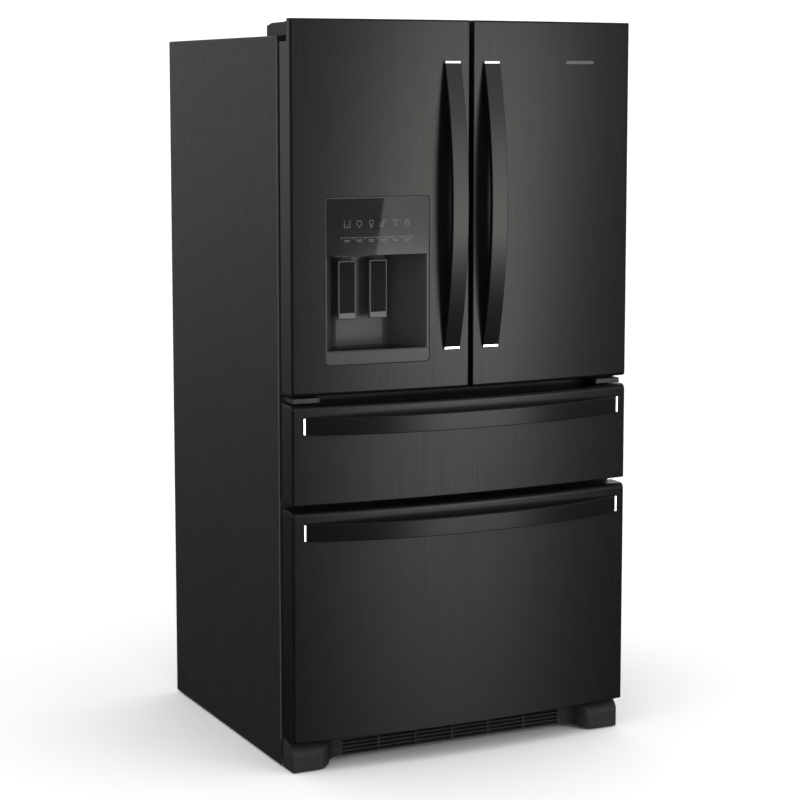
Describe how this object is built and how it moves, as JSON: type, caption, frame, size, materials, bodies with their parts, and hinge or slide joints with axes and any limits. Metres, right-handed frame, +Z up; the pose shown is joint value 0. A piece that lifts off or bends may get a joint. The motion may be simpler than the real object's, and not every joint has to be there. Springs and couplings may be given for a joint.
{
  "type": "french door refrigerator",
  "caption": "Tall refrigerator with two side-hinged doors over two full-width drawers, a dispenser in the left door and bowed bar handles.",
  "frame": {"origin": "on the floor, below the middle of the box that holds the whole object", "axes": "+Z up, the doors face -Y, +X to the right when looking at the back wall from the front; the dispenser is on the -X side"},
  "size_m": [0.905, 0.891, 1.78],
  "materials": {
    "case_paint": "satin black paint",
    "front_steel": "dark satin steel, fine upright grain",
    "handle_steel": "dark satin steel",
    "trim_chrome": "bright chrome",
    "black_plastic": "fine-grained black plastic",
    "panel_gloss": "gloss black panel",
    "dispenser_metal": "satin grey metal",
    "dispenser_grey": "satin charcoal moulding",
    "seal_rubber": "soft black vinyl",
    "liner_white": "white moulded liner",
    "bin_clear": "clear moulded plastic",
    "shelf_glass": "clear toughened glass in a white rim",
    "foam": "polyurethane foam",
    "zinc_steel": "zinc-plated sheet steel",
    "roller_plastic": "hard black plastic",
    "coil_aluminium": "bare aluminium",
    "black_paint": "black enamel"
  },
  "bodies": {
    "cabinet": {"outer_case": "case_paint", "rear_panel": "zinc_steel", "base_frame": "zinc_steel", "middle_slide_frame": "zinc_steel", "freezer_slide_frame": "zinc_steel", "condenser_fan_motor": "zinc_steel", "top_hinge_left": "zinc_steel", "top_hinge_right": "zinc_steel", "cabinet_insulation": "foam", "fridge_liner": "liner_white", "freezer_liner": "liner_white", "machine_cover": "black_plastic", "base_grille": "black_plastic", "foot_cover_left": "black_plastic", "foot_cover_right": "black_plastic", "hinge_cover_left": "black_plastic", "hinge_cover_right": "black_plastic", "centre_hinge_left": "black_paint", "centre_hinge_right": "black_paint", "compressor": "black_paint", "condenser": "black_paint", "shelf_upper": "shelf_glass", "crisper_shelf": "shelf_glass", "evaporator": "coil_aluminium"},
    "left_door": {"left_door_skin": "front_steel", "left_door_liner": "liner_white", "left_door_gasket": "seal_rubber", "left_door_handle": "handle_steel", "left_door_bin": "bin_clear", "ice_bucket": "bin_clear", "dispenser_housing": "dispenser_grey", "dispenser_panel": "panel_gloss", "drip_tray": "black_plastic"},
    "ice_paddle": {"ice_paddle": "dispenser_metal"},
    "water_paddle": {"water_paddle": "dispenser_metal"},
    "mullion_flap": {"mullion_flap": "black_plastic"},
    "right_door": {"right_door_skin": "front_steel", "right_door_liner": "liner_white", "right_door_gasket": "seal_rubber", "right_door_handle": "handle_steel", "right_door_bin_lower": "bin_clear", "right_door_bin_upper": "bin_clear"},
    "middle_drawer": {"middle_drawer_front": "front_steel", "middle_drawer_gasket": "seal_rubber", "middle_drawer_handle": "handle_steel", "middle_drawer_tub": "liner_white"},
    "freezer_drawer": {"freezer_drawer_front": "front_steel", "freezer_drawer_gasket": "seal_rubber", "freezer_drawer_handle": "handle_steel", "freezer_drawer_tub": "liner_white"},
    "freezer_basket": {"freezer_basket": "liner_white"},
    "crisper_left": {"crisper_left": "bin_clear"},
    "crisper_right": {"crisper_right": "bin_clear"},
    "condenser_fan": {"condenser_fan_blade": "black_paint"},
    "levelling_leg_left": {"levelling_leg_left": "zinc_steel"},
    "levelling_leg_right": {"levelling_leg_right": "zinc_steel"},
    "front_roller_left": {"front_roller_left": "roller_plastic"},
    "front_roller_right": {"front_roller_right": "roller_plastic"},
    "rear_roller_left": {"rear_roller_left": "roller_plastic"},
    "rear_roller_right": {"rear_roller_right": "roller_plastic"}
  },
  "joints": [
    {"name": "left_door_hinge", "type": "hinge", "parent": "cabinet", "child": "left_door", "pos_m": [-0.43, -0.3275, 1.344], "axis": [0, 0, -1], "range_deg": [0, 120]},
    {"name": "right_door_hinge", "type": "hinge", "parent": "cabinet", "child": "right_door", "pos_m": [0.43, -0.3275, 1.344], "axis": [0, 0, 1], "range_deg": [0, 120]},
    {"name": "mullion_flap_hinge", "type": "hinge", "parent": "left_door", "child": "mullion_flap", "pos_m": [-0.034, -0.2815, 1.316], "axis": [0, 0, -1], "range_deg": [0, 90]},
    {"name": "ice_paddle_hinge", "type": "hinge", "parent": "left_door", "child": "ice_paddle", "pos_m": [-0.288, -0.312, 1.244], "axis": [1, 0, 0], "range_deg": [0, 8], "stiffness_Nm_per_rad": 1},
    {"name": "water_paddle_hinge", "type": "hinge", "parent": "left_door", "child": "water_paddle", "pos_m": [-0.2065, -0.312, 1.244], "axis": [1, 0, 0], "range_deg": [0, 8], "stiffness_Nm_per_rad": 1},
    {"name": "middle_drawer_slide", "type": "slide", "parent": "cabinet", "child": "middle_drawer", "axis": [0, -1, 0], "range_m": [0, 0.42]},
    {"name": "freezer_drawer_slide", "type": "slide", "parent": "cabinet", "child": "freezer_drawer", "axis": [0, -1, 0], "range_m": [0, 0.35]},
    {"name": "freezer_basket_slide", "type": "slide", "parent": "freezer_drawer", "child": "freezer_basket", "axis": [0, 1, 0], "range_m": [0, 0.2]},
    {"name": "crisper_left_slide", "type": "slide", "parent": "cabinet", "child": "crisper_left", "axis": [0, -1, 0], "range_m": [0, 0.12]},
    {"name": "crisper_right_slide", "type": "slide", "parent": "cabinet", "child": "crisper_right", "axis": [0, -1, 0], "range_m": [0, 0.12]},
    {"name": "condenser_fan_spin", "type": "hinge", "parent": "cabinet", "child": "condenser_fan", "pos_m": [-0.104, 0.325, 0.135], "axis": [1, 0, 0], "continuous": true},
    {"name": "levelling_leg_left_slide", "type": "slide", "parent": "cabinet", "child": "levelling_leg_left", "axis": [0, 0, -1], "range_m": [0, 0.02]},
    {"name": "front_roller_left_spin", "type": "hinge", "parent": "cabinet", "child": "front_roller_left", "pos_m": [-0.42, -0.2, 0.0245], "axis": [1, 0, 0], "continuous": true},
    {"name": "rear_roller_left_spin", "type": "hinge", "parent": "cabinet", "child": "rear_roller_left", "pos_m": [-0.42, 0.395, 0.0225], "axis": [1, 0, 0], "continuous": true},
    {"name": "levelling_leg_right_slide", "type": "slide", "parent": "cabinet", "child": "levelling_leg_right", "axis": [0, 0, -1], "range_m": [0, 0.02]},
    {"name": "front_roller_right_spin", "type": "hinge", "parent": "cabinet", "child": "front_roller_right", "pos_m": [0.42, -0.2, 0.0245], "axis": [1, 0, 0], "continuous": true},
    {"name": "rear_roller_right_spin", "type": "hinge", "parent": "cabinet", "child": "rear_roller_right", "pos_m": [0.42, 0.395, 0.0225], "axis": [1, 0, 0], "continuous": true}
  ]
}
